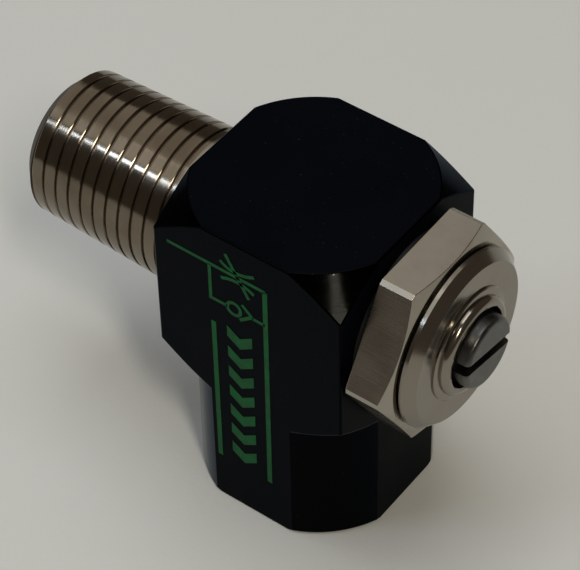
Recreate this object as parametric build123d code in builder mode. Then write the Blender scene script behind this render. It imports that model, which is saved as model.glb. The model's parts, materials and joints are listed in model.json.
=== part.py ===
"""Right-angle banjo flow control valve for compressed air.

A square-bar body swivels on a hollow banjo stem. The stem's tapered male thread screws into a cylinder
or a valve, and its hex head carries the needle that throttles the flow. A lip seal on the stem lets air
pass freely in the other direction. The hose or fitting goes into the threaded port under the body.

Frame: millimetres, +Z up along the port, origin at the centre of the body's bottom face. The stem's axis
is parallel to X at stem_z, with the hex head and the needle towards +X and the male thread towards -X.
"""

import os
from math import atan, degrees, radians, sqrt, tan

from build123d import *

os.makedirs("parts", exist_ok=True)

# ---------------------------------------------------------------- driving dimensions

# Body, turned and milled from square bar
bar_width = 19.05  # 3/4 inch bar, across the flats
body_height = 33.02  # 1.300 inch
turned_radius = 10.39  # the lower end is turned to this, which leaves narrow flats
turned_height = 13.6  # top of the turned stretch
turned_cone_angle = 46.0  # from the turned stretch out to the bar's corners
top_cone_angle = 44.5  # the bevel on the four top corners
edge_break = 0.3  # small chamfer round the bottom and the bores' mouths
body_edge_radius = 0.2  # every outside edge is tumbled to this before the bores are cut

stem_z = body_height - bar_width / 2  # stem axis, as far under the top as from the sides
bore_radius = 7.35  # cross bore that the stem turns in
counterbore_radius = 8.5  # recess for the retaining ring, in the rear face
counterbore_floor = -7.2  # its floor, along X

# Bottom port, 1/4-18 NPT, modelled as a parallel tapped hole
thread_pitch = 25.4 / 18
port_minor_radius = 5.72
port_thread_depth = 0.9
port_threaded_length = 9.4
port_minor_length = 10.2
port_drill_radius = 5.54  # plain stretch behind the thread
port_depth = 13.2
port_mouth_radius = 6.9
passage_radius = 2.2  # from the port's end up into the cross bore
groove_flat = 0.056  # at the bottom of either thread's groove
groove_angle = 60.0

# Banjo stem, outside
stem_end = -26.9
stem_end_radius = 5.55
thread_taper = 1 / 32  # radius per unit of length, the taper of a pipe thread
thread_start = -25.7  # where the end chamfer meets the tapered thread
neck_radius = 7.26
neck_start = -11.3  # plain neck between the thread and the body
neck_end = -9.2
relief_radius = 7.0  # just before the retaining ring's groove
thread_depth = 0.22  # the crests are left wide, and the grooves between them narrow
thread_shoulder = 0.04  # the groove's edges are broken over this depth
thread_shoulder_width = 0.065
helix_start = -27.4  # off the stem's end, where the end chamfer leaves room
helix_end = -11.2
shank_radius = 7.28
annulus_radius = 5.9
land_radius = 6.6  # beside the lip seal, low enough for air to pass
land_inset = 0.5  # how far the lands reach into the annuli beside them
hex_across_flats = 17.46  # 11/16 inch
hex_back = 10.27
hex_front = 14.0
hex_turn = 1.3  # degrees that the hexagon is turned from having a flat uppermost
hex_land_radius = 9.94  # the corners are turned to this
hex_chamfer_radius = 8.6
hex_chamfer_length = 0.56
hex_edge_round = 0.06

# Stations along the stem
ring_groove = (-8.85, -7.95)  # for the retaining ring
ring_groove_radius = 6.5
rear_seal_groove = (-6.5, -5.0)
free_annulus = (-4.0, -1.8)
lip_groove = (-1.5, 1.1)
metered_annulus = (1.5, 4.7)
front_seal_groove = (5.8, 7.3)
seal_groove_radius = 6.2
lip_groove_radius = 5.5
free_hole_radius = 0.95
metered_hole_radius = 0.9

# Banjo stem, inside
supply_radius = 3.6  # the long bore from the male end
supply_end = -0.9
supply_chamfer = 0.4
seat_radius = 3.0
seat_end = 1.7
chamber_radius = 2.6
tapped_start = 4.4
tapped_radius = 2.52  # clear of the needle's thread
needle_bore_radius = 3.4
needle_bore_start = 7.4
gland_shank_radius = 6.0
gland_bottom = 11.4
gland_seal_radius = 6.95
gland_seal_floor = 13.05

# Needle gland, the round flange with a boss in front of the hexagon
flange_radius = 8.2
flange_back = 14.12
flange_register_radius = 7.6  # the raised ring that seats on the hexagon
flange_front = 15.47
flange_face_radius = 7.41
flange_chamfer_length = 0.85
bead_outer_radius = 5.2  # low raised ring round the boss
bead_height = 0.2
bead_edge = 0.08
boss_base_radius = 4.55
boss_base = 15.75
boss_front = 16.42
boss_front_radius = 3.95
boss_bulge = 0.19  # how far the boss's rounded side stands out from straight
boss_bore_radius = 3.72
collar_recess_radius = 4.4
collar_recess_front = 14.95
gland_shank_start = 11.5

# Adjusting needle, at rest as it is set for use, partly open
needle_front = 17.57
needle_head_radius = 3.3
needle_edge_radius = 0.42
needle_slot_width = 1.0
needle_slot_depth = 1.45
needle_slot_tilt = -10.0  # degrees from the Y axis, seen along the stem
collar_radius = 4.2
collar = (13.4, 14.0)
needle_seal_groove = (9.3, 10.5)
needle_seal_groove_radius = 2.42
needle_body_start = 8.9
needle_thread = (3.6, 8.6)
needle_thread_radius = 2.47
needle_thread_chamfer = 0.3
needle_undercut_radius = 2.15
taper_base = 3.1
taper_base_radius = 1.46
taper_length = 3.0
taper_tip_radius = 0.5
orifice_radius = 1.5
seat_countersink = 0.6

# Rings, washers and seals
seal_section = 0.56  # section radius of the stem's O-rings, as squeezed
needle_seal_section = 0.47
gland_seal_section = 0.43
lip_seal_heel = 0.95  # length of the solid part behind the two lips
lip_seal_end_gap = 0.1
lip_thickness = 0.35
support_ring_length = 0.45
support_ring_step = 0.1  # how far it stands above the lands
fit_gap = 0.02  # between a ring and the groove that it sits in
washer_gap = 0.03  # between a washer and the face that slides past it
washer_bore_gap = 0.05
front_washer_radius = 8.03
rear_washer_radius = 8.3
retaining_ring_radius = 7.95
retaining_ring_gap = 2.4

# ---------------------------------------------------------------- shared placements

half_bar = bar_width / 2
spill = 1.0  # how far a cut runs on past the face that it starts from
cutter_rise = 0.05  # how far a thread cutter stands above the wall that it cuts
stem_axis = Axis((0, 0, stem_z), (1, 0, 0))
# Plane of the stem's profiles: local x runs along the stem, local y is the radius
axial_plane = Plane(origin=(0, 0, stem_z), x_dir=(1, 0, 0), z_dir=(0, -1, 0))


def across(x):
    """Plane square to the stem at x, facing +X, with local x along Y and local y along Z."""
    return Plane(origin=(x, 0, stem_z), x_dir=(0, 1, 0), z_dir=(1, 0, 0))


def taper_radius(x):
    """Radius of the tapered thread's crest at x."""
    return neck_radius - (neck_start - x) * thread_taper


def groove_half_width(height):
    """Half the width of a thread groove at a height above its narrow flat bottom."""
    return groove_flat / 2 + height * tan(radians(groove_angle / 2))


def finish(part, name):
    """Label a finished piece and write it."""
    part.label = name
    export_step(part, f"parts/{name}.step")


# ---------------------------------------------------------------- valve body

envelope_radius = half_bar * sqrt(2) + 0.5  # clear of the bar's corners
turned_cone_height = (envelope_radius - turned_radius) * tan(radians(turned_cone_angle))
top_cone_height = (envelope_radius - turned_radius) * tan(radians(top_cone_angle))

with BuildPart() as valve_body:
    with BuildSketch(Plane.XY):
        Rectangle(bar_width, bar_width)
    extrude(amount=body_height)
    # Turned envelope: cylinder, cone out to the bar's corners, and the bevel at the top
    with BuildSketch(Plane.XZ):
        with BuildLine():
            Polyline(
                (0, 0),
                (turned_radius - edge_break, 0),
                (turned_radius, edge_break),
                (turned_radius, turned_height),
                (envelope_radius, turned_height + turned_cone_height),
                (envelope_radius, body_height - top_cone_height),
                (turned_radius, body_height),
                (0, body_height),
                close=True,
            )
        make_face()
    revolve(axis=Axis.Z, mode=Mode.INTERSECT)
    fillet(valve_body.edges(), body_edge_radius)
    # Cross bore for the stem, with its recess in the rear face
    with BuildSketch(axial_plane):
        with BuildLine():
            Polyline(
                (-half_bar - spill, 0),
                (-half_bar - spill, counterbore_radius),
                (counterbore_floor, counterbore_radius),
                (counterbore_floor, bore_radius),
                (half_bar - edge_break, bore_radius),
                (half_bar + spill, bore_radius + edge_break + spill),
                (half_bar + spill, 0),
                close=True,
            )
        make_face()
    revolve(axis=stem_axis, mode=Mode.SUBTRACT)
    # Port, with a countersunk mouth and a flat end
    with BuildSketch(Plane.XZ):
        with BuildLine():
            Polyline(
                (0, 0),
                (port_mouth_radius, 0),
                (port_minor_radius, port_mouth_radius - port_minor_radius),
                (port_minor_radius, port_minor_length),
                (port_drill_radius, port_minor_length),
                (port_drill_radius, port_depth),
                (0, port_depth),
                close=True,
            )
        make_face()
    revolve(axis=Axis.Z, mode=Mode.SUBTRACT)
    # Passage from the port up to the metered annulus
    with BuildSketch(Plane.XY.offset(port_depth - spill)):
        with Locations((sum(metered_annulus) / 2, 0)):
            Circle(passage_radius)
    extrude(amount=stem_z - bore_radius - port_depth + 2 * spill, mode=Mode.SUBTRACT)
    # Port thread, a helical groove in the wall
    with BuildLine() as port_path:
        Helix(pitch=thread_pitch, height=port_threaded_length, radius=port_minor_radius)
    with BuildSketch(Plane(origin=port_path.line @ 0, x_dir=(1, 0, 0), z_dir=port_path.line % 0)):
        with BuildLine():
            Polyline(
                (-cutter_rise, groove_half_width(port_thread_depth + cutter_rise)),
                (port_thread_depth, groove_half_width(0)),
                (port_thread_depth, -groove_half_width(0)),
                (-cutter_rise, -groove_half_width(port_thread_depth + cutter_rise)),
                close=True,
            )
        make_face()
    sweep(path=port_path.line, is_frenet=True, mode=Mode.SUBTRACT)
finish(valve_body.part, "valve_body")


# ---------------------------------------------------------------- banjo stem

with BuildPart() as banjo_stem:
    with BuildSketch(across(hex_back)):
        RegularPolygon(hex_across_flats / 2, 6, major_radius=False, rotation=hex_turn)
    extrude(amount=hex_front - hex_back)
    # Corners turned to a narrow land, and the bevel on the front corners
    with BuildSketch(axial_plane):
        with BuildLine():
            Polyline(
                (hex_back - spill, 0),
                (hex_back - spill, hex_land_radius),
                (hex_front - hex_chamfer_length, hex_land_radius),
                (hex_front, hex_chamfer_radius),
                (hex_front, 0),
                close=True,
            )
        make_face()
    revolve(axis=stem_axis, mode=Mode.INTERSECT)
    fillet(banjo_stem.edges(), hex_edge_round)
    # Turned shank and tapered thread blank
    with BuildSketch(axial_plane):
        with BuildLine():
            Polyline(
                (hex_back + spill, 0),
                (hex_back + spill, shank_radius),
                (ring_groove[1], shank_radius),
                (ring_groove[1], relief_radius),
                (neck_end, relief_radius),
                (neck_end, neck_radius),
                (neck_start, neck_radius),
                (thread_start, taper_radius(thread_start)),
                (stem_end, stem_end_radius),
                (stem_end, 0),
                close=True,
            )
        make_face()
    revolve(axis=stem_axis)
    # Grooves for the seals and the retaining ring, and the two annuli that the cross holes open into
    for groove, floor_radius in (
        (ring_groove, ring_groove_radius),
        (rear_seal_groove, seal_groove_radius),
        (free_annulus, annulus_radius),
        (lip_groove, lip_groove_radius),
        (metered_annulus, annulus_radius),
        (front_seal_groove, seal_groove_radius),
    ):
        with BuildSketch(across(groove[0])):
            Circle(shank_radius + spill)
            Circle(floor_radius, mode=Mode.SUBTRACT)
        extrude(amount=groove[1] - groove[0], mode=Mode.SUBTRACT)
    # Low lands beside the lip seal, so that air can pass over them
    with BuildSketch(across(free_annulus[0] + land_inset)):
        Circle(shank_radius + spill)
        Circle(land_radius, mode=Mode.SUBTRACT)
    extrude(amount=metered_annulus[1] - free_annulus[0] - 2 * land_inset, mode=Mode.SUBTRACT)
    # Inside, from the male end to the gland
    with BuildSketch(axial_plane):
        with BuildLine():
            Polyline(
                (stem_end - spill, 0),
                (stem_end - spill, supply_radius + supply_chamfer + spill),
                (stem_end + supply_chamfer, supply_radius),
                (supply_end, supply_radius),
                (supply_end, seat_radius),
                (seat_end, seat_radius),
                (seat_end, chamber_radius),
                (tapped_start, chamber_radius),
                (tapped_start, tapped_radius),
                (needle_bore_start, tapped_radius),
                (needle_bore_start, needle_bore_radius),
                (gland_bottom, needle_bore_radius),
                (gland_bottom, gland_shank_radius),
                (gland_seal_floor, gland_shank_radius),
                (gland_seal_floor, gland_seal_radius),
                (hex_front + spill, gland_seal_radius),
                (hex_front + spill, 0),
                close=True,
            )
        make_face()
    revolve(axis=stem_axis, mode=Mode.SUBTRACT)
    # Cross holes, square to each other
    for annulus, hole_radius in (
        (free_annulus, free_hole_radius),
        (metered_annulus, metered_hole_radius),
    ):
        hole_centre = (sum(annulus) / 2, 0, stem_z)
        for hole_direction in ((0, 0, 1), (0, -1, 0)):
            with BuildSketch(Plane(origin=hole_centre, x_dir=(1, 0, 0), z_dir=hole_direction)):
                Circle(hole_radius)
            extrude(amount=shank_radius, both=True, mode=Mode.SUBTRACT)
    # Male pipe thread, a helical groove that tapers with the stem
    helix_centre = Vector(helix_start, 0, stem_z)
    with BuildLine() as male_path:
        Helix(
            pitch=thread_pitch,
            height=helix_end - helix_start,
            radius=taper_radius(helix_start),
            center=helix_centre,
            direction=(1, 0, 0),
            cone_angle=degrees(atan(thread_taper)),
        )
    groove_start = male_path.line @ 0
    # Half the groove's width where its sides turn out to the broken edges
    half_width = groove_half_width(thread_depth - thread_shoulder)
    with BuildSketch(
        Plane(origin=groove_start, x_dir=groove_start - helix_centre, z_dir=male_path.line % 0)
    ):
        with BuildLine():
            Polyline(
                (thread_shoulder, half_width + 2 * thread_shoulder_width),
                (-thread_shoulder, half_width),
                (-thread_depth, groove_half_width(0)),
                (-thread_depth, -groove_half_width(0)),
                (-thread_shoulder, -half_width),
                (thread_shoulder, -half_width - 2 * thread_shoulder_width),
                close=True,
            )
        make_face()
    sweep(path=male_path.line, is_frenet=True, mode=Mode.SUBTRACT)
finish(banjo_stem.part, "banjo_stem")

# ---------------------------------------------------------------- needle gland

with BuildPart() as needle_gland:
    with BuildSketch(axial_plane):
        with BuildLine():
            flange_side = Polyline(
                (collar_recess_front, collar_recess_radius),
                (gland_shank_start, collar_recess_radius),
                (gland_shank_start, gland_shank_radius),
                (hex_front, gland_shank_radius),
                (hex_front, flange_register_radius),
                (flange_back, flange_register_radius),
                (flange_back, flange_radius - edge_break / 2),
                (flange_back + edge_break / 2, flange_radius),
                (flange_front - flange_chamfer_length, flange_radius),
                (flange_front, flange_face_radius),
                (flange_front, bead_outer_radius),
                (flange_front + bead_height - bead_edge, bead_outer_radius),
                (flange_front + bead_height, bead_outer_radius - bead_edge),
                (boss_base, boss_base_radius),
            )
            boss_side = SagittaArc(flange_side @ 1, (boss_front, boss_front_radius), boss_bulge)
            Polyline(
                boss_side @ 1,
                (boss_front, boss_bore_radius + bead_edge),
                (boss_front - bead_edge, boss_bore_radius),
                (collar_recess_front, boss_bore_radius),
                (collar_recess_front, collar_recess_radius),
            )
        make_face()
    revolve(axis=stem_axis)
finish(needle_gland.part, "needle_gland")

# ---------------------------------------------------------------- adjusting needle

with BuildPart() as adjusting_needle:
    with BuildSketch(axial_plane):
        with BuildLine():
            profile = Polyline(
                (taper_base - taper_length, 0),
                (taper_base - taper_length, taper_tip_radius),
                (taper_base, taper_base_radius),
                (needle_thread[0] - needle_thread_chamfer, taper_base_radius),
                (needle_thread[0], needle_thread_radius - needle_thread_chamfer),
                (needle_thread[0] + needle_thread_chamfer, needle_thread_radius),
                (needle_thread[1], needle_thread_radius),
                (needle_thread[1], needle_undercut_radius),
                (needle_body_start, needle_undercut_radius),
                (needle_body_start, needle_head_radius),
                (needle_seal_groove[0], needle_head_radius),
                (needle_seal_groove[0], needle_seal_groove_radius),
                (needle_seal_groove[1], needle_seal_groove_radius),
                (needle_seal_groove[1], needle_head_radius),
                (collar[0], needle_head_radius),
                (collar[0], collar_radius),
                (collar[1], collar_radius),
                (collar[1], needle_head_radius),
                (needle_front - needle_edge_radius, needle_head_radius),
            )
            edge = RadiusArc(
                profile @ 1,
                (needle_front, needle_head_radius - needle_edge_radius),
                needle_edge_radius,
            )
            Polyline(edge @ 1, (needle_front, 0), profile @ 0)
        make_face()
    revolve(axis=stem_axis)
    # Screwdriver slot
    with BuildSketch(across(needle_front)):
        Rectangle(3 * needle_head_radius, needle_slot_width, rotation=needle_slot_tilt)
    extrude(amount=-needle_slot_depth, mode=Mode.SUBTRACT)
finish(adjusting_needle.part, "adjusting_needle")

# ---------------------------------------------------------------- seat, seals and rings

# Metering seat, a short tube pressed against the step in the stem's bore
with BuildPart() as metering_seat:
    with BuildSketch(across(supply_end)):
        Circle(seat_radius)
        Circle(orifice_radius, mode=Mode.SUBTRACT)
    extrude(amount=seat_end - supply_end)
    inlet_edges = metering_seat.edges().filter_by(GeomType.CIRCLE).group_by(Axis.X)[0]
    chamfer(inlet_edges.sort_by(SortBy.RADIUS)[0], seat_countersink)
finish(metering_seat.part, "metering_seat")


def o_ring(name, centre_x, centre_radius, section_radius):
    """An O-ring round the stem's axis."""
    with BuildPart() as ring:
        with BuildSketch(axial_plane):
            with Locations((centre_x, centre_radius)):
                Circle(section_radius)
        revolve(axis=stem_axis)
    finish(ring.part, name)


seal_centre_radius = (seal_groove_radius + bore_radius) / 2
o_ring("rear_stem_o_ring", sum(rear_seal_groove) / 2, seal_centre_radius, seal_section)
o_ring("front_stem_o_ring", sum(front_seal_groove) / 2, seal_centre_radius, seal_section)
o_ring(
    "needle_o_ring",
    sum(needle_seal_groove) / 2,
    (needle_seal_groove_radius + needle_bore_radius) / 2,
    needle_seal_section,
)
o_ring(
    "gland_o_ring",
    (gland_seal_floor + hex_front) / 2,
    (gland_shank_radius + gland_seal_radius) / 2,
    gland_seal_section,
)

# Lip seal, a U-shaped ring whose outer lip points to the free-flow annulus
lip_back = lip_groove[1] - support_ring_length
lip_front = lip_groove[0] + lip_seal_end_gap
lip_root = lip_back - lip_seal_heel
lip_seal_bore = lip_groove_radius + fit_gap
support_ring_radius = land_radius + support_ring_step
with BuildPart() as check_lip_seal:
    with BuildSketch(axial_plane):
        with BuildLine():
            Polyline(
                (lip_back, lip_seal_bore),
                (lip_back, support_ring_radius),
                (lip_root, support_ring_radius),
                (lip_front + lip_thickness, bore_radius - fit_gap),
                (lip_front, bore_radius - fit_gap),
                (lip_front, bore_radius - fit_gap - lip_thickness),
                (lip_root, support_ring_radius - lip_thickness),
                (lip_root, lip_seal_bore + lip_thickness),
                (lip_front, lip_seal_bore + lip_thickness),
                (lip_front, lip_seal_bore),
                close=True,
            )
        make_face()
    revolve(axis=stem_axis)
finish(check_lip_seal.part, "check_lip_seal")


def washer(name, start, length, inner_radius, outer_radius):
    """A flat ring round the stem's axis."""
    with BuildPart() as ring:
        with BuildSketch(across(start)):
            Circle(outer_radius)
            Circle(inner_radius, mode=Mode.SUBTRACT)
        extrude(amount=length)
    finish(ring.part, name)


washer_bore = shank_radius + washer_bore_gap
washer("lip_seal_support_ring", lip_back, support_ring_length, lip_seal_bore, support_ring_radius)
washer(
    "front_thrust_washer",
    half_bar + washer_gap,
    hex_back - half_bar - washer_gap,
    washer_bore,
    front_washer_radius,
)
washer(
    "rear_thrust_washer",
    ring_groove[1] + fit_gap,
    counterbore_floor - ring_groove[1] - fit_gap - washer_gap,
    washer_bore,
    rear_washer_radius,
)

# Retaining ring, an open ring that snaps into the neck's groove
with BuildPart() as retaining_ring:
    with BuildSketch(across(ring_groove[0] + fit_gap)):
        Circle(retaining_ring_radius)
        Circle(ring_groove_radius + fit_gap, mode=Mode.SUBTRACT)
        with Locations((0, -retaining_ring_radius)):
            Rectangle(retaining_ring_gap, retaining_ring_radius, mode=Mode.SUBTRACT)
    extrude(amount=ring_groove[1] - ring_groove[0] - 2 * fit_gap)
finish(retaining_ring.part, "retaining_ring")
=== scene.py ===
"""Right-angle flow control valve standing on its female port: finishes, printed symbol, light and camera."""

import json
from math import cos, pi, radians, sin

import bmesh
import bpy
from mathutils import Matrix, Vector


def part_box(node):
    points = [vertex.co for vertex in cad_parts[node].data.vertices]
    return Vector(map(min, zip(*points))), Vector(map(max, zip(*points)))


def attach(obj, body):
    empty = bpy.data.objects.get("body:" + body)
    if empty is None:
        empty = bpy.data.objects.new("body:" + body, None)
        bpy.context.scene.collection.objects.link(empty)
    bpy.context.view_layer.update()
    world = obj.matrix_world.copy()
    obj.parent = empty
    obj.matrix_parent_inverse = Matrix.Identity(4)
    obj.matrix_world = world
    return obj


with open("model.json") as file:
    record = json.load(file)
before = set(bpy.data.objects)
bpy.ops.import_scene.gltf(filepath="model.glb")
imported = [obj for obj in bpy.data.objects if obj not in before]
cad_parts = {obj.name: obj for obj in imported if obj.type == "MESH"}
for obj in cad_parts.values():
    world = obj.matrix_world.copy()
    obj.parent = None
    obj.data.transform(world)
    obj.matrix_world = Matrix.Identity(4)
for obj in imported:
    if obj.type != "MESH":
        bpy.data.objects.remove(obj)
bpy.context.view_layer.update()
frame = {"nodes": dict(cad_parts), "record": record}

MM = 0.001

# ---------------------------------------------------------------- places, from the frame

body_low, body_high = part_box("valve_body")
stem_low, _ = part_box("banjo_stem")
washer_low, washer_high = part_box("front_thrust_washer")
PRINT_FACE_Y = body_low[1]  # the printed face looks along -Y
STEM_AXIS_Z = (washer_low[2] + washer_high[2]) / 2  # height of the stem's axis
STEM_END_X = stem_low[0]
HEXAGON_X = washer_high[0]  # the hexagon's back rests on the washer, which hides the stem behind it

# The male thread starts where the plain neck behind it ends, and narrows towards the stem's end
neck = next(mount for mount in frame["record"]["mounts"] if mount["name"] == "male_thread")
THREAD_X = neck["pos_m"][0] - neck["dims"]["length_mm"] * MM / 2
THREAD_RADIUS = neck["dims"]["r_mm"] * MM
THREAD_TAPER = 1 / 32


def placed(name, data):
    """A new object in the scene."""
    new = bpy.data.objects.new(name, data)
    bpy.context.scene.collection.objects.link(new)
    return new


# ---------------------------------------------------------------- finishes

class Finish:
    """A Principled material, with short ways to add the nodes that vary it."""

    def __init__(self, name, colour, metallic, roughness, **sockets):
        self.material = bpy.data.materials.new(name)
        self.material.use_nodes = True
        self.tree = self.material.node_tree
        self.shader = self.tree.nodes["Principled BSDF"]
        self.set("Base Color", (*colour, 1.0))
        self.set("Metallic", metallic)
        self.set("Roughness", roughness)
        for socket, value in sockets.items():
            self.set(socket.replace("_", " "), value)
        coordinates = self.add("ShaderNodeTexCoord")
        self.place = coordinates.outputs["Object"]
        self.normal = coordinates.outputs["Normal"]

    def set(self, socket, value):
        """A number or a colour on the shader, or the output of a node."""
        self.feed(self.shader.inputs[socket], value)

    def feed(self, socket, value):
        """A link from another node's output, or a plain value."""
        if isinstance(value, bpy.types.NodeSocket):
            self.tree.links.new(value, socket)
        else:
            socket.default_value = value

    def add(self, kind, settings=None, **inputs):
        """A node. Settings are its attributes. Inputs go by name, or by number as i0, i1 and so on."""
        node = self.tree.nodes.new(kind)
        for key, value in (settings or {}).items():
            setattr(node, key, value)
        for key, value in inputs.items():
            self.feed(node.inputs[int(key[1:]) if key[1:].isdigit() else key], value)
        return node

    def maths(self, operation, a, b=0.0):
        return self.add("ShaderNodeMath", {"operation": operation}, i0=a, i1=b).outputs[0]

    def plus(self, a, b):
        return self.maths("ADD", a, b)

    def minus(self, a, b):
        return self.maths("SUBTRACT", a, b)

    def times(self, a, b):
        return self.maths("MULTIPLY", a, b)

    def vector_maths(self, operation, output, a, **inputs):
        return self.add("ShaderNodeVectorMath", {"operation": operation}, i0=a, **inputs).outputs[output]

    def scaled(self, vector, x, y, z):
        """The vector with each part multiplied."""
        return self.vector_maths("MULTIPLY", "Vector", vector, i1=(x, y, z))

    def length(self, x, y, z):
        return self.vector_maths("LENGTH", "Value", self.joined(x, y, z))

    def noise(self, vector, size, detail=2.0):
        """Noise from 0 to 1 whose lumps are about this size, in metres."""
        return self.add("ShaderNodeTexNoise", Vector=vector, Scale=1 / size, Detail=detail).outputs["Fac"]

    def spread(self, value, low, high, to_low=0.0, to_high=1.0):
        """The value, taken smoothly from low..high to to_low..to_high."""
        limits = {"From Min": low, "From Max": high, "To Min": to_low, "To Max": to_high}
        settings = {"interpolation_type": "SMOOTHSTEP"}
        return self.add("ShaderNodeMapRange", settings, Value=value, **limits).outputs["Result"]

    def blend(self, amount, a, b):
        """From number a to number b."""
        return self.add("ShaderNodeMix", i0=amount, i2=a, i3=b).outputs[0]

    def mix(self, amount, a, b):
        """From colour a to colour b."""
        a, b = ((*c, 1.0) if isinstance(c, tuple) else c for c in (a, b))
        return self.add("ShaderNodeMix", {"data_type": "RGBA"}, i0=amount, i6=a, i7=b).outputs[2]

    def parts(self, vector):
        return self.add("ShaderNodeSeparateXYZ", i0=vector).outputs[:]

    def joined(self, x, y, z):
        return self.add("ShaderNodeCombineXYZ", i0=x, i1=y, i2=z).outputs[0]

    def stem_radius(self):
        """Distance from the stem's axis, in metres."""
        _, y, z = self.parts(self.place)
        return self.length(0.0, y, self.minus(z, STEM_AXIS_Z))

    def lathe_rings(self, along, across):
        """Turning marks of these sizes along the stem's axis and across it, and 1 on faces square to it."""
        x, _, _ = self.parts(self.place)
        nx, _, _ = self.parts(self.normal)
        end_face = self.spread(self.maths("ABSOLUTE", nx), 0.4, 0.9)
        rings = self.blend(end_face,
                           self.noise(self.joined(x, 0.0, 0.0), along),
                           self.noise(self.joined(self.stem_radius(), 0.0, 0.0), across))
        return rings, end_face

    def bump(self, *layers):
        """Layers are (height from 0 to 1, depth in metres)."""
        under = {}
        for height, depth in layers:
            bump = self.add("ShaderNodeBump", Height=height, Distance=depth, **under)
            under = {"Normal": bump.outputs["Normal"]}
        self.set("Normal", bump.outputs["Normal"])

    def edges(self, radius=0.15 * MM, low=0.01, high=0.12):
        """1 along sharp edges, 0 elsewhere: where rounding the edges would turn the surface."""
        rounded = self.add("ShaderNodeBevel", {"samples": 6}, Radius=radius).outputs["Normal"]
        plain = self.add("ShaderNodeNewGeometry").outputs["Normal"]
        agreement = self.vector_maths("DOT_PRODUCT", "Value", rounded, i1=plain)
        return self.spread(self.minus(1.0, agreement), low, high)


def body_finish():
    """Black hard anodising: matt on the drawn sides, polished where the bar was turned, worn at the edges."""
    black, blue_black = (0.0013, 0.0021, 0.0040), (0.0020, 0.0030, 0.0052)
    turned_black = (0.0019, 0.0019, 0.0018)
    worn_edge, worn_share = (0.10, 0.10, 0.105), 0.35
    dust, dust_share = (0.12, 0.12, 0.11), 0.12
    matt, mattest, line_roughness = 0.33, 0.42, 0.08
    turned_polish, worn_polish = 0.32, 0.08
    grain_left_by_turning = 0.1
    f = Finish("black_anodised_aluminium", black, 0.0, matt, IOR=1.5, Specular_IOR_Level=0.02,
               Specular_Tint=(0.62, 0.66, 0.72, 1.0))
    x, y, z = f.parts(f.place)
    nx, ny, nz = (f.maths("ABSOLUTE", n) for n in f.parts(f.normal))
    flat_side = f.spread(f.maths("MAXIMUM", nx, ny), 0.992, 0.999)
    flat_end = f.spread(nz, 0.992, 0.999)
    turned = f.minus(1.0, f.maths("MAXIMUM", flat_side, flat_end))
    rings = f.noise(f.joined(0.0, f.length(x, y, 0.0), z), 0.11 * MM, 1.0)
    drawn = f.noise(f.scaled(f.place, 1.0, 1.0, 0.02), 0.09 * MM)
    lines = f.blend(flat_side, rings, drawn)
    cloud = f.noise(f.place, 6 * MM, 3.0)
    worn = f.times(f.edges(), f.spread(f.noise(f.place, 1.2 * MM, 3.0), 0.42, 0.68))
    specks = f.spread(f.noise(f.place, 0.22 * MM, 0.0), 0.80, 0.85)

    colour = f.mix(f.spread(cloud, 0.35, 0.7), black, blue_black)
    colour = f.mix(turned, colour, turned_black)
    colour = f.mix(f.times(worn, worn_share), colour, worn_edge)
    f.set("Base Color", f.mix(f.times(specks, dust_share), colour, dust))
    f.set("Metallic", f.times(turned, 0.95))
    rough = f.plus(f.spread(cloud, 0.3, 0.7, matt, mattest), f.times(lines, line_roughness))
    rough = f.minus(rough, f.times(turned, turned_polish))
    f.set("Roughness", f.minus(rough, f.times(worn, worn_polish)))
    grain = f.times(f.noise(f.place, 0.05 * MM), f.minus(1.0, f.times(turned, 1 - grain_left_by_turning)))
    f.bump((grain, 0.004 * MM), (lines, 0.002 * MM))
    return f.material


def turned_finish(name, colour, tarnished, roughness, ring_size, ring_depth):
    """A turned metal piece: rings from the lathe and faint tarnish."""
    ring_roughness, tarnish_share = 0.10, 0.5
    f = Finish(name, colour, 1.0, roughness)
    rings, _ = f.lathe_rings(ring_size, ring_size)
    cloud = f.noise(f.place, 3.5 * MM, 3.0)
    tarnish = f.times(f.spread(cloud, 0.45, 0.75), tarnish_share)
    f.set("Base Color", f.mix(tarnish, colour, tarnished))
    f.set("Roughness", f.plus(f.spread(cloud, 0.3, 0.75, roughness * 0.8, roughness * 1.25),
                              f.times(f.minus(rings, 0.5), ring_roughness)))
    f.bump((rings, ring_depth), (f.noise(f.place, 0.12 * MM), ring_depth / 2))
    return f.material


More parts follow.
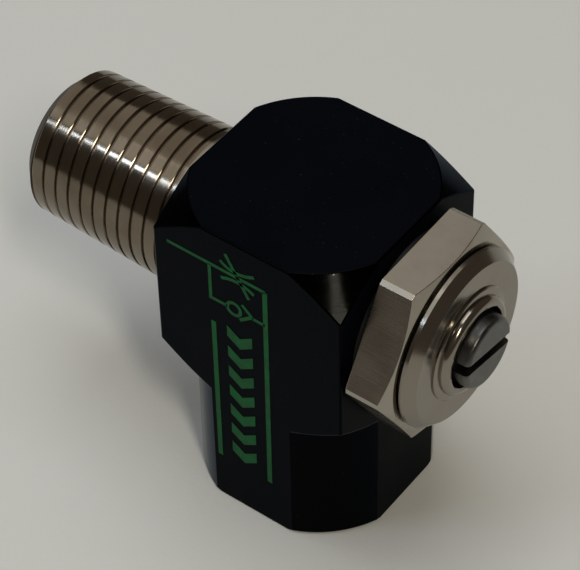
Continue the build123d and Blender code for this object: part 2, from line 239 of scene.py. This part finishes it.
def stem_finish():
    """Nickel plating: rings where it was turned, lines along the hexagon, stains and dirt on the thread."""
    nickel, tarnished, tarnish_share = (0.37, 0.335, 0.285), (0.30, 0.26, 0.21), 0.5
    brown, dark_brown, stain_share = (0.188, 0.151, 0.110), (0.148, 0.115, 0.080), 0.92
    # painted shade: a dark colour laid on the chamfer at the stem's end
    painted_end_shade = (0.050, 0.040, 0.036)
    dirt_colour, dirt_share = (0.080, 0.062, 0.042), 0.35
    smooth, dull, line_roughness = 0.19, 0.28, 0.12
    thread_polish, end_dullness, dirt_dullness = 0.10, 0.4, 0.15
    f = Finish("nickel_plated_stem", nickel, 1.0, smooth, Specular_IOR_Level=0.1)
    x, _, _ = f.parts(f.place)
    rings, end_face = f.lathe_rings(0.12 * MM, 0.12 * MM)
    drawn = f.noise(f.scaled(f.place, 0.03, 1.0, 1.0), 0.10 * MM)
    hexagon = f.spread(x, HEXAGON_X - 0.3 * MM, HEXAGON_X - 0.1 * MM)
    lines = f.blend(f.times(hexagon, f.minus(1.0, end_face)), rings, drawn)
    cloud = f.noise(f.place, 3.5 * MM, 3.0)

    # 1 on the thread, 1 in its grooves, and nearly 1 on the chamfer at its end, which is painted dark as
    # shade
    thread = f.minus(1.0, f.spread(x, THREAD_X - 0.15 * MM, THREAD_X + 0.15 * MM))
    crest_radius = f.plus(THREAD_RADIUS, f.times(f.minus(x, THREAD_X), THREAD_TAPER))
    groove = f.spread(f.minus(crest_radius, f.stem_radius()), 0.06 * MM, 0.18 * MM)
    end = f.spread(x, STEM_END_X + 1.1 * MM, STEM_END_X + 1.3 * MM, 0.8, 0.0)
    patches = f.spread(f.noise(f.place, 1.5 * MM, 3.0), 0.2, 0.7, 0.35, 1.0)
    dirt = f.times(f.times(groove, thread), patches)

    colour = f.mix(f.times(f.spread(cloud, 0.45, 0.75), tarnish_share), nickel, tarnished)
    stained = f.mix(f.spread(cloud, 0.35, 0.65), brown, dark_brown)
    colour = f.mix(f.times(thread, stain_share), colour, stained)
    # painted shade: the chamfer at the stem's end is painted dark
    colour = f.mix(end, colour, painted_end_shade)
    f.set("Base Color", f.mix(f.times(dirt, dirt_share), colour, dirt_colour))
    f.set("Metallic", f.minus(1.0, f.times(end, 0.6)))
    rough = f.plus(f.spread(cloud, 0.3, 0.75, smooth, dull), f.times(f.minus(lines, 0.5), line_roughness))
    rough = f.plus(f.minus(rough, f.times(thread, thread_polish)), f.times(end, end_dullness))
    f.set("Roughness", f.plus(rough, f.times(dirt, dirt_dullness)))
    f.bump((lines, 0.0025 * MM), (f.noise(f.place, 0.12 * MM), 0.002 * MM))
    return f.material


def needle_finish():
    """Dull turned steel, with scuffs left by a screwdriver."""
    dark, light = (0.078, 0.078, 0.075), (0.138, 0.135, 0.128)
    scuffed, scuff_share = (0.28, 0.27, 0.24), 0.4
    f = Finish("dull_turned_steel", dark, 1.0, 0.3)
    rings, _ = f.lathe_rings(0.13 * MM, 0.16 * MM)
    cloud = f.noise(f.place, 1.6 * MM, 3.0)
    scuffs = f.spread(f.noise(f.scaled(f.place, 1.0, 0.25, 1.0), 0.25 * MM, 3.0), 0.55, 0.75)
    colour = f.mix(f.spread(cloud, 0.3, 0.7), dark, light)
    f.set("Base Color", f.mix(f.times(scuffs, scuff_share), colour, scuffed))
    f.set("Roughness", f.spread(cloud, 0.3, 0.7, 0.30, 0.42))
    f.bump((rings, 0.004 * MM), (scuffs, 0.003 * MM))
    return f.material


def rubber_finish(name, colour, roughness):
    """Moulded nitrile, with a matt skin and a little bloom."""
    bloomed, bloom_share = tuple(4 * c + 0.01 for c in colour), 0.3
    f = Finish(name, colour, 0.0, roughness)
    bloom = f.spread(f.noise(f.place, 1.1 * MM, 3.0), 0.5, 0.75)
    f.set("Base Color", f.mix(f.times(bloom, bloom_share), colour, bloomed))
    f.set("Roughness", f.spread(f.noise(f.place, 0.6 * MM), 0.3, 0.7, roughness - 0.08, roughness + 0.08))
    f.bump((f.noise(f.place, 0.06 * MM, 3.0), 0.005 * MM))
    return f.material


def acetal_finish():
    """Black acetal, turned from rod."""
    black, grey_black = (0.010, 0.010, 0.011), (0.018, 0.018, 0.019)
    f = Finish("black_acetal", black, 0.0, 0.45)
    rings = f.noise(f.joined(f.stem_radius(), 0.0, 0.0), 0.1 * MM)
    cloud = f.noise(f.place, 2 * MM)
    f.set("Base Color", f.mix(f.spread(cloud, 0.3, 0.7), black, grey_black))
    f.set("Roughness", f.spread(rings, 0.3, 0.7, 0.38, 0.52))
    f.bump((rings, 0.004 * MM))
    return f.material


def ring_steel_finish():
    """Phosphated spring steel, dark grey and mottled, bare at the edges."""
    dark, grey = (0.075, 0.075, 0.074), (0.14, 0.14, 0.135)
    bare, bare_share = (0.42, 0.41, 0.40), 0.5
    f = Finish("phosphated_spring_steel", dark, 0.9, 0.5)
    mottle = f.noise(f.place, 0.35 * MM, 4.0)
    colour = f.mix(f.spread(mottle, 0.35, 0.65), dark, grey)
    f.set("Base Color", f.mix(f.times(f.edges(), bare_share), colour, bare))
    f.set("Roughness", f.spread(mottle, 0.3, 0.7, 0.42, 0.58))
    f.bump((mottle, 0.008 * MM))
    return f.material


def ink_finish():
    """Screen-printed green ink, thin and uneven where it was rubbed, with pinholes."""
    green, light_green = (0.0045, 0.085, 0.022), (0.0065, 0.125, 0.034)
    rubbed_green, rubbed_share = (0.003, 0.040, 0.012), 0.45
    bare, bare_share = (0.002, 0.006, 0.004), 0.7
    f = Finish("green_ink", green, 0.0, 0.5, Specular_IOR_Level=0.12)
    cloud = f.noise(f.place, 0.9 * MM, 3.0)
    rubbed = f.spread(f.noise(f.scaled(f.place, 1.0, 1.0, 0.35), 0.4 * MM, 3.0), 0.55, 0.75)
    pinholes = f.spread(f.noise(f.place, 0.12 * MM, 1.0), 0.68, 0.76)
    colour = f.mix(f.spread(cloud, 0.3, 0.7), green, light_green)
    colour = f.mix(f.times(rubbed, rubbed_share), colour, rubbed_green)
    f.set("Base Color", f.mix(f.times(pinholes, bare_share), colour, bare))
    f.set("Roughness", f.spread(cloud, 0.3, 0.7, 0.45, 0.58))
    f.bump((cloud, 0.006 * MM), (f.noise(f.place, 0.06 * MM), 0.003 * MM))
    return f.material


def floor_finish():
    """A pale matt board."""
    pale, paler = (0.785, 0.79, 0.765), (0.815, 0.82, 0.795)
    f = Finish("pale_board", pale, 0.0, 0.6)
    cloud = f.noise(f.place, 120 * MM, 3.0)
    f.set("Base Color", f.mix(cloud, pale, paler))
    f.set("Roughness", f.spread(cloud, 0.3, 0.7, 0.55, 0.65))
    f.bump((f.noise(f.place, 0.4 * MM, 3.0), 0.02 * MM))
    return f.material


o_ring_rubber = rubber_finish("nitrile_rubber", (0.010, 0.010, 0.0105), roughness=0.6)
acetal = acetal_finish()
finishes = {
    "valve_body": body_finish(),
    "banjo_stem": stem_finish(),
    "needle_gland": turned_finish("nickel_plated_gland", (0.265, 0.237, 0.200), (0.215, 0.182, 0.146),
                                  roughness=0.16, ring_size=0.13 * MM, ring_depth=0.0025 * MM),
    "adjusting_needle": needle_finish(),
    "metering_seat": turned_finish("turned_brass", (0.72, 0.50, 0.20), (0.50, 0.32, 0.12),
                                   roughness=0.3, ring_size=0.1 * MM, ring_depth=0.004 * MM),
    "gland_o_ring": o_ring_rubber,
    "rear_stem_o_ring": o_ring_rubber,
    "front_stem_o_ring": o_ring_rubber,
    "needle_o_ring": o_ring_rubber,
    "check_lip_seal": rubber_finish("nitrile_lip_rubber", (0.022, 0.014, 0.012), roughness=0.45),
    "lip_seal_support_ring": acetal,
    "front_thrust_washer": acetal,
    "rear_thrust_washer": acetal,
    "retaining_ring": ring_steel_finish(),
}
for node, material in finishes.items():
    for slot in frame["nodes"][node].material_slots:
        slot.material = material

# ---------------------------------------------------------------- printed symbol

# Places on the printed face are (x, z) in mm: x from the port's axis towards the hexagon, z from the bottom
INK_DEPTH = 0.03 * MM  # how proud the ink stands
INK_ROOT = 0.01 * MM  # how far it reaches into the surface, so that no gap shows
SHARPEST_MITRE = 0.3
THIN, THICK = 0.33, 0.48  # stroke widths in mm
ink_mesh = bmesh.new()


def ink_plate(outline):
    """A closed thin plate of ink with this outline, given either way round."""
    area = sum(a[0] * b[1] - b[0] * a[1] for a, b in zip(outline, outline[1:] + outline[:1]))
    if area < 0:
        outline = outline[::-1]
    front = [ink_mesh.verts.new((x * MM, PRINT_FACE_Y - INK_DEPTH, z * MM)) for x, z in outline]
    back = [ink_mesh.verts.new((x * MM, PRINT_FACE_Y + INK_ROOT, z * MM)) for x, z in outline]
    ink_mesh.faces.new(front)
    ink_mesh.faces.new(back[::-1])
    for i in range(len(outline)):
        j = (i + 1) % len(outline)
        ink_mesh.faces.new((front[i], back[i], back[j], front[j]))


def ink_line(points, width):
    """A stroke of one width through the points, with mitred corners and square ends."""
    points = [Vector(point) for point in points]
    left, right = [], []
    for i, point in enumerate(points):
        before = point - points[i - 1] if i else points[1] - points[0]
        after = points[i + 1] - point if i + 1 < len(points) else before
        along = (before.normalized() + after.normalized()).normalized()
        side = Vector((-along.y, along.x)) * width / 2 / max(SHARPEST_MITRE, along.dot(before.normalized()))
        left.append(point + side)
        right.append(point - side)
    ink_plate(left + right[::-1])


def arc_points(start, middle, end, count=9):
    """Points along the parabola that passes through three points."""
    points = []
    for i in range(count):
        t = i / (count - 1)
        shares = (1 - t) * (1 - 2 * t), 4 * t * (1 - t), t * (2 * t - 1)
        points.append([sum(share * at for share, at in zip(shares, ats)) for ats in zip(start, middle, end)])
    return points


def ink_ring(centre, radius, width, count=40):
    """A ring of short plates."""
    turns = [2 * pi * i / count for i in range(count)]
    outer, inner = ([(centre[0] + r * cos(turn), centre[1] + r * sin(turn)) for turn in turns]
                    for r in (radius + width / 2, radius - width / 2))
    for i in range(count):
        j = (i + 1) % count
        ink_plate([outer[i], outer[j], inner[j], inner[i]])


# Air line, with the throttle's two arcs and the stroke that marks it as adjustable
ink_line([(-8.03, 29.4), (2.03, 29.32)], THIN)
ink_line(arc_points((-2.5, 30.4), (-0.99, 29.8), (0.95, 30.4)), THIN)
ink_line(arc_points((-2.48, 28.4), (-0.73, 28.8), (0.88, 28.3)), THIN)
ink_line([(-1.94, 31.43), (0.34, 27.45)], THIN)
# Bypass with the check valve's ball and seat
ink_line([(-3.66, 29.3), (-3.66, 25.35), (-1.95, 25.37)], THIN)
ink_ring((-1.27, 25.37), 0.68, THIN)
ink_line([(-0.41, 26.39), (0.59, 25.5), (-0.69, 24.42)], THIN)
ink_line([(0.59, 25.4), (1.91, 25.35)], THIN)
# The two long lines
ink_line([(2.0, 29.3), (1.88, 5.34)], THICK)
ink_line([(-3.5, 22.56), (-3.5, 5.44)], THICK)
# Column of chevrons that show the controlled flow
CHEVRONS, CHEVRON_PITCH = 7, 2.45
CHEVRON_LEFT, CHEVRON_MIDDLE, CHEVRON_RIGHT = -2.1, -0.8, 0.5
CHEVRON_DIP, CHEVRON_STROKE = 0.9, 1.25
TOP_CHEVRON_Z = 22.9
for i in range(CHEVRONS):
    upper = TOP_CHEVRON_Z - i * CHEVRON_PITCH
    lower = upper - CHEVRON_STROKE
    ink_plate([
        (CHEVRON_LEFT, upper), (CHEVRON_MIDDLE, upper - CHEVRON_DIP), (CHEVRON_RIGHT, upper),
        (CHEVRON_RIGHT, lower), (CHEVRON_MIDDLE, lower - CHEVRON_DIP), (CHEVRON_LEFT, lower),
    ])

ink_data = bpy.data.meshes.new("printed_symbol")
ink_mesh.to_mesh(ink_data)
ink_mesh.free()
ink_data.materials.append(ink_finish())
printed_symbol = placed("printed_symbol", ink_data)
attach(printed_symbol, "body")

# ---------------------------------------------------------------- floor, light and camera

FLOOR_REACH = 1.5  # metres each way
corners = [(FLOOR_REACH * x, FLOOR_REACH * y, 0) for x, y in ((-1, -1), (1, -1), (1, 1), (-1, 1))]
floor_data = bpy.data.meshes.new("floor")
floor_data.from_pydata(corners, [], [(0, 1, 2, 3)])
floor_data.materials.append(floor_finish())
floor = placed("floor", floor_data)

LIGHT_DISTANCE = 0.9
lit_point = Vector((0, 0, (body_low[2] + body_high[2]) / 2))


def soft_light(name, azimuth, elevation, width, height, power, colour):
    """A rectangular panel aimed at the object. Azimuth is counted from -Y towards +X."""
    data = bpy.data.lights.new(name, "AREA")
    data.shape, data.size, data.size_y = "RECTANGLE", width, height
    data.energy, data.color = power, colour
    towards = Vector((
        cos(radians(elevation)) * sin(radians(azimuth)),
        -cos(radians(elevation)) * cos(radians(azimuth)),
        sin(radians(elevation)),
    ))
    light = placed(name, data)
    light.location = lit_point + towards * LIGHT_DISTANCE
    light.rotation_euler = towards.to_track_quat("Z", "Y").to_euler()


# Panels overhead, in front on the left and behind on the left, and two small lamps for the highlights
soft_light("overhead_panel", -170, 84, 0.50, 0.50, 1.72, (0.96, 0.985, 1.0))
soft_light("front_panel", -52, 63, 0.55, 0.50, 0.78, (0.97, 1.0, 1.0))
soft_light("back_panel", -122, 55, 0.70, 0.70, 0.70, (1.0, 0.98, 0.92))
soft_light("cool_lamp", -42, 45, 0.26, 0.045, 0.60, (0.62, 0.77, 1.0))
soft_light("warm_lamp", 53, 51, 0.085, 0.28, 2.00, (1.0, 0.93, 0.78))

ROOM_COLOUR, ROOM_STRENGTH = (1.0, 0.86, 0.70, 1.0), 0.095
world = bpy.data.worlds.new("studio")
bpy.context.scene.world = world
world.use_nodes = True
background = world.node_tree.nodes["Background"]
background.inputs["Color"].default_value = ROOM_COLOUR
background.inputs["Strength"].default_value = ROOM_STRENGTH
bpy.context.scene.view_settings.view_transform = "Standard"

CAMERA_AZIMUTH, CAMERA_ELEVATION, CAMERA_ROLL = 37.66, 46.32, -1.392
CAMERA_TARGET = Vector((-3.10, 0.43, 18.63)) * MM
CAMERA_DISTANCE = 228.4 * MM
CAMERA_LENS, SENSOR_WIDTH = 164.6, 36.0  # in mm
NEAREST_SEEN = 10 * MM
camera_data = bpy.data.cameras.new("camera")
camera_data.lens = CAMERA_LENS
camera_data.sensor_width = SENSOR_WIDTH
camera_data.clip_start = NEAREST_SEEN
turn = (
    Matrix.Rotation(radians(CAMERA_AZIMUTH), 4, "Z")
    @ Matrix.Rotation(radians(90 - CAMERA_ELEVATION), 4, "X")
    @ Matrix.Rotation(radians(CAMERA_ROLL), 4, "Z")
)
camera = placed("camera", camera_data)
camera.matrix_world = Matrix.Translation(CAMERA_TARGET + turn.col[2].to_3d() * CAMERA_DISTANCE) @ turn
bpy.context.scene.camera = camera
